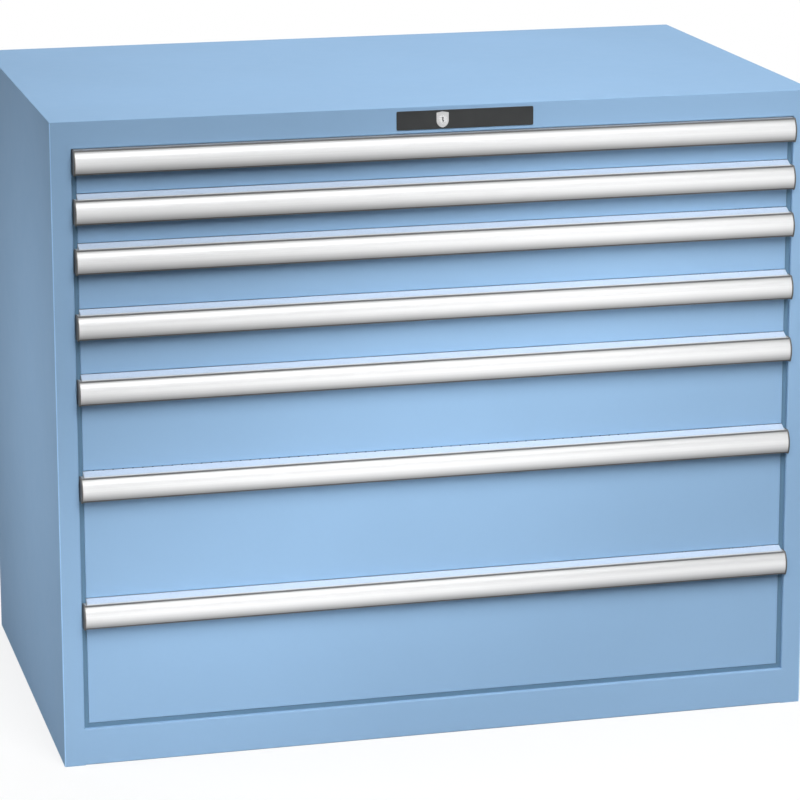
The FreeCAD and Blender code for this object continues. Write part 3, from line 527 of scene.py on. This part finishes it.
def bar(name, section, left, right):
    """A section of (y, z) corners carried from x = left to x = right."""
    near = [(left, y, z) for y, z in section]
    far = [(right, y, z) for y, z in section]
    return prism(name, near, far)


# Handle trim: a dark bead along the grip's two edges, whose darkness is painted shade for the shadow
# lines there, and a label strip on the ledge behind it

BEAD_HEIGHTS = {"top": 2.0 * MM, "bottom": 2.4 * MM}
BEAD_PROUD = 0.25 * MM
BEAD_STEPS = 4
END_GAP = 0.3 * MM
LABEL_THICKNESS = 0.6 * MM
LABEL_FRONT_GAP = 2.4 * MM


def grip_arc(centre_y, top, radius, first, last):
    """Points on the grip's arc between two drops below the handle's top edge."""
    points = []
    for step in range(BEAD_STEPS + 1):
        drop = first + (last - first) * step / BEAD_STEPS
        rise = GRIP_CENTRE_DROP - drop
        points.append((centre_y - math.sqrt(radius ** 2 - rise ** 2), top - drop))
    return points


def handle_beads(number):
    """A bead along the top edge of the grip and one along its bottom edge: dark pieces that are painted
    shade for the shadow lines at the grip's edges.
    """
    low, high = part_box(f"drawer_{number}_handle")
    top = handle_top(number)
    centre_y = low.y + GRIP_RADIUS
    for edge, height in BEAD_HEIGHTS.items():
        first = 0.0 if edge == "top" else GRIP_HEIGHT - height
        outer = grip_arc(centre_y, top, GRIP_RADIUS + BEAD_PROUD, first, first + height)
        inner = grip_arc(centre_y, top, GRIP_RADIUS - BEAD_PROUD, first, first + height)
        mesh = bar(f"drawer_{number}_{edge}_bead", outer + inner[::-1], low.x + END_GAP, high.x - END_GAP)
        new_piece(mesh, MATERIALS["end_cap_plastic"], f"drawer_{number}")


def label_strip(number):
    """A strip on the ledge's slope, from behind the bead to the drawer's front."""
    low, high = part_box(f"drawer_{number}_handle")
    front_low, front_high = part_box(f"drawer_{number}_front")
    centre_y = low.y + GRIP_RADIUS
    edge_y = centre_y - math.sqrt(GRIP_RADIUS ** 2 - GRIP_CENTRE_DROP ** 2)
    start = Vector((0, edge_y, handle_top(number)))
    end = Vector((0, front_low.y, high.z))
    along = (end - start).normalized()
    first = start + along * LABEL_FRONT_GAP
    lift = Vector((0, -along.z, along.y)) * LABEL_THICKNESS
    covered = end + Vector((0, 0, LABEL_THICKNESS / along.y))
    section = [(point.y, point.z) for point in (first, end, covered, first + lift)]
    mesh = bar(f"drawer_{number}_label", section, front_low.x, front_high.x)
    new_piece(mesh, LABEL, f"drawer_{number}")


for number in DRAWERS:
    handle_beads(number)
    if number > 1:
        label_strip(number)


# Gap strips: dark blue sheets in the narrow gaps beside and below the fronts, whose darker blue is
# painted shade standing in for the shaded steel close behind them

STRIP_SETBACK = 1 * MM
STRIP_CLEARANCE = 0.3 * MM
REBATE_DEPTH = 10 * MM
OPENING_HALF_WIDTH = 564.5 * MM


def painted_shade_strips():
    """Strips that fill the gaps from the rebate's back to just behind the fronts' faces, in a darker blue
    that is painted shade.
    """
    low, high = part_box("drawer_7_front")
    face_y = low.y + STRIP_SETBACK
    rebate_y = FRONT_Y + REBATE_DEPTH
    edge = high.x + STRIP_CLEARANCE
    for side, left, right, top in (("left", -OPENING_HALF_WIDTH, -edge, OPENING_TOP),
                                   ("right", edge, OPENING_HALF_WIDTH, OPENING_TOP),
                                   ("bottom", -edge, edge, low.z - STRIP_CLEARANCE)):
        section = [(face_y, OPENING_BOTTOM), (rebate_y, OPENING_BOTTOM), (rebate_y, top), (face_y, top)]
        mesh = bar(f"painted_shade_strip_{side}", section, left, right)
        new_piece(mesh, PAINTED_SHADE_PAINT, "housing")


painted_shade_strips()


# The lock's keyway: a dark warded profile on the plug's face, painted shade for the keyway's opening,
# with x and z in millimetres

KEYWAY_OUTLINE = ((-1.4, 3.7), (1.3, 3.7), (1.3, 2.2), (0.3, 1.3), (0.4, 0.5), (1.5, -0.3),
                  (1.5, -3.4), (0.2, -3.7), (0.1, -1.7), (-0.8, -0.6), (-1.0, 0.9), (-0.5, 1.7),
                  (-1.4, 2.2))
KEYWAY_PROUD = 0.06 * MM


def keyway_profile():
    low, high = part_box("lock_plug")
    middle_x = (low.x + high.x) / 2
    middle_z = (low.z + high.z) / 2
    near, far = ([(middle_x + x * MM, low.y + depth, middle_z + z * MM) for x, z in KEYWAY_OUTLINE]
                 for depth in (-KEYWAY_PROUD, KEYWAY_PROUD))
    mesh = prism("keyway_profile", near, far)
    new_piece(mesh, MATERIALS["black_plastic"], "lock_plug")


keyway_profile()


# Stage: a white floor that keeps the cabinet's shadow, on a white background

WHITE = (1, 1, 1, 1)
FLOOR_HALF = 40.0
FLOOR_BOUNCE = (0.3, 0.3, 0.3)
FLOOR_SEEN = (0.95, 0.95, 0.95)
FLOOR_WHITE_SHARE = 0.8
SHADOW_REACH = (1.0, 2.4)
WORLD_LIGHT = 0.08


def floor_material():
    """Lit like a grey floor and seen as a pale one. It turns pure white beyond the shadow's reach."""
    material = bpy.data.materials.new("floor_white")
    tree = NodeTree(material)
    output = tree.add("ShaderNodeOutputMaterial")
    matte = tree.add("ShaderNodeBsdfDiffuse")
    tree.link(tree.blend(tree.background_rays(), FLOOR_BOUNCE, FLOOR_SEEN), matte.inputs["Color"])
    white = tree.add("ShaderNodeEmission")
    white.inputs["Color"].default_value = WHITE
    distance = tree.add("ShaderNodeVectorMath", operation="LENGTH")
    tree.link(tree.object_place(), distance.inputs[0])
    near, far = SHADOW_REACH
    share = tree.spread(distance.outputs["Value"], FLOOR_WHITE_SHARE, 1.0, start=near, end=far)
    seen_share = tree.math("MULTIPLY", tree.background_rays(), share)
    mixed = tree.mix_shaders(seen_share, matte.outputs["BSDF"], white.outputs["Emission"])
    tree.link(mixed, output.inputs["Surface"])
    return material


def stage_floor():
    mesh = bpy.data.meshes.new("floor")
    corners = [(x * FLOOR_HALF, y * FLOOR_HALF, 0) for x, y in ((-1, -1), (1, -1), (1, 1), (-1, 1))]
    mesh.from_pydata(corners, [], [(0, 1, 2, 3)])
    mesh.materials.append(floor_material())
    floor = bpy.data.objects.new("floor", mesh)
    bpy.context.scene.collection.objects.link(floor)


def white_world():
    """A white background that lights the cabinet only a little."""
    world = bpy.data.worlds.new("studio")
    bpy.context.scene.world = world
    tree = NodeTree(world)
    output = tree.add("ShaderNodeOutputWorld")
    light = tree.add("ShaderNodeBackground")
    light.inputs["Strength"].default_value = WORLD_LIGHT
    white = tree.add("ShaderNodeBackground")
    for background in (light, white):
        background.inputs["Color"].default_value = WHITE
    mixed = tree.mix_shaders(tree.background_rays(), light.outputs["Background"],
                             white.outputs["Background"])
    tree.link(mixed, output.inputs["Surface"])


def area_light(name, place, target, size, power, mirrored=True, roll=0, spread=180):
    """A rectangular lamp. Its roll and the spread of its beam are in degrees."""
    data = bpy.data.lights.new(name, "AREA")
    data.shape = "RECTANGLE"
    data.size, data.size_y = size
    data.energy = power
    data.spread = math.radians(spread)
    lamp = bpy.data.objects.new(name, data)
    bpy.context.scene.collection.objects.link(lamp)
    lamp.visible_glossy = mirrored
    lamp.visible_camera = False
    lamp.location = place
    lamp.rotation_mode = "QUATERNION"
    facing = (Vector(target) - Vector(place)).to_track_quat("-Z", "Y")
    lamp.rotation_quaternion = facing @ Quaternion((0, 0, 1), math.radians(roll))


CABINET_MIDDLE = (0, -0.2, 0.5)

stage_floor()
white_world()
area_light("key", place=(0.7, -4.0, 5.2), target=(0.85, -0.36, 0.37), size=(2.4, 2.8), power=52,
           spread=78)
area_light("front_fill", place=(-1.5, -4.8, 3.0), target=(0.22, -0.36, -0.3), size=(1.8, 1.8),
           power=8.7, spread=37)
area_light("front_strip", place=(-0.19, -2.6, 0.39), target=(-0.19, -0.36, 0.39), size=(1.93, 0.1),
           power=0.95, mirrored=False, roll=35, spread=24)
area_light("top_light", place=(0, 0.1, 2.7), target=CABINET_MIDDLE, size=(1.4, 1.0), power=11)
area_light("left_fill", place=(-1.45, -0.1, 0.53), target=(-0.6, -0.1, 0.53), size=(0.4, 0.4),
           power=3.5, mirrored=False)
area_light("right_fill", place=(2.6, 0.1, 0.5), target=(0.6, 0.1, 0.5), size=(1.2, 0.9), power=21,
           mirrored=False)
area_light("rear_fill", place=(0.4, 4.2, 1.9), target=CABINET_MIDDLE, size=(2.2, 1.8), power=150,
           mirrored=False)


# Camera: the photograph's view

PICTURE_SIDE = 800
SENSOR = 36.0
FOCAL_PIXELS = 3472.2
CAMERA_PLACE = (-1.3155, -5.3684, 1.8729)
CAMERA_YAW = math.radians(14.689)
CAMERA_PITCH = math.radians(12.844)
CAMERA_SHIFT = (-0.05, -0.12)
CLIP_RANGE = (0.1, 200)


def photo_camera():
    data = bpy.data.cameras.new("camera")
    data.sensor_width = SENSOR
    data.lens = SENSOR * FOCAL_PIXELS / PICTURE_SIDE
    data.shift_x, data.shift_y = CAMERA_SHIFT
    data.clip_start, data.clip_end = CLIP_RANGE
    camera = bpy.data.objects.new("camera", data)
    bpy.context.scene.collection.objects.link(camera)
    camera.location = CAMERA_PLACE
    camera.rotation_mode = "QUATERNION"
    looking = Vector((math.sin(CAMERA_YAW) * math.cos(CAMERA_PITCH),
                      math.cos(CAMERA_YAW) * math.cos(CAMERA_PITCH),
                      -math.sin(CAMERA_PITCH)))
    camera.rotation_quaternion = looking.to_track_quat("-Z", "Y")
    bpy.context.scene.camera = camera


photo_camera()

bpy.context.view_layer.update()
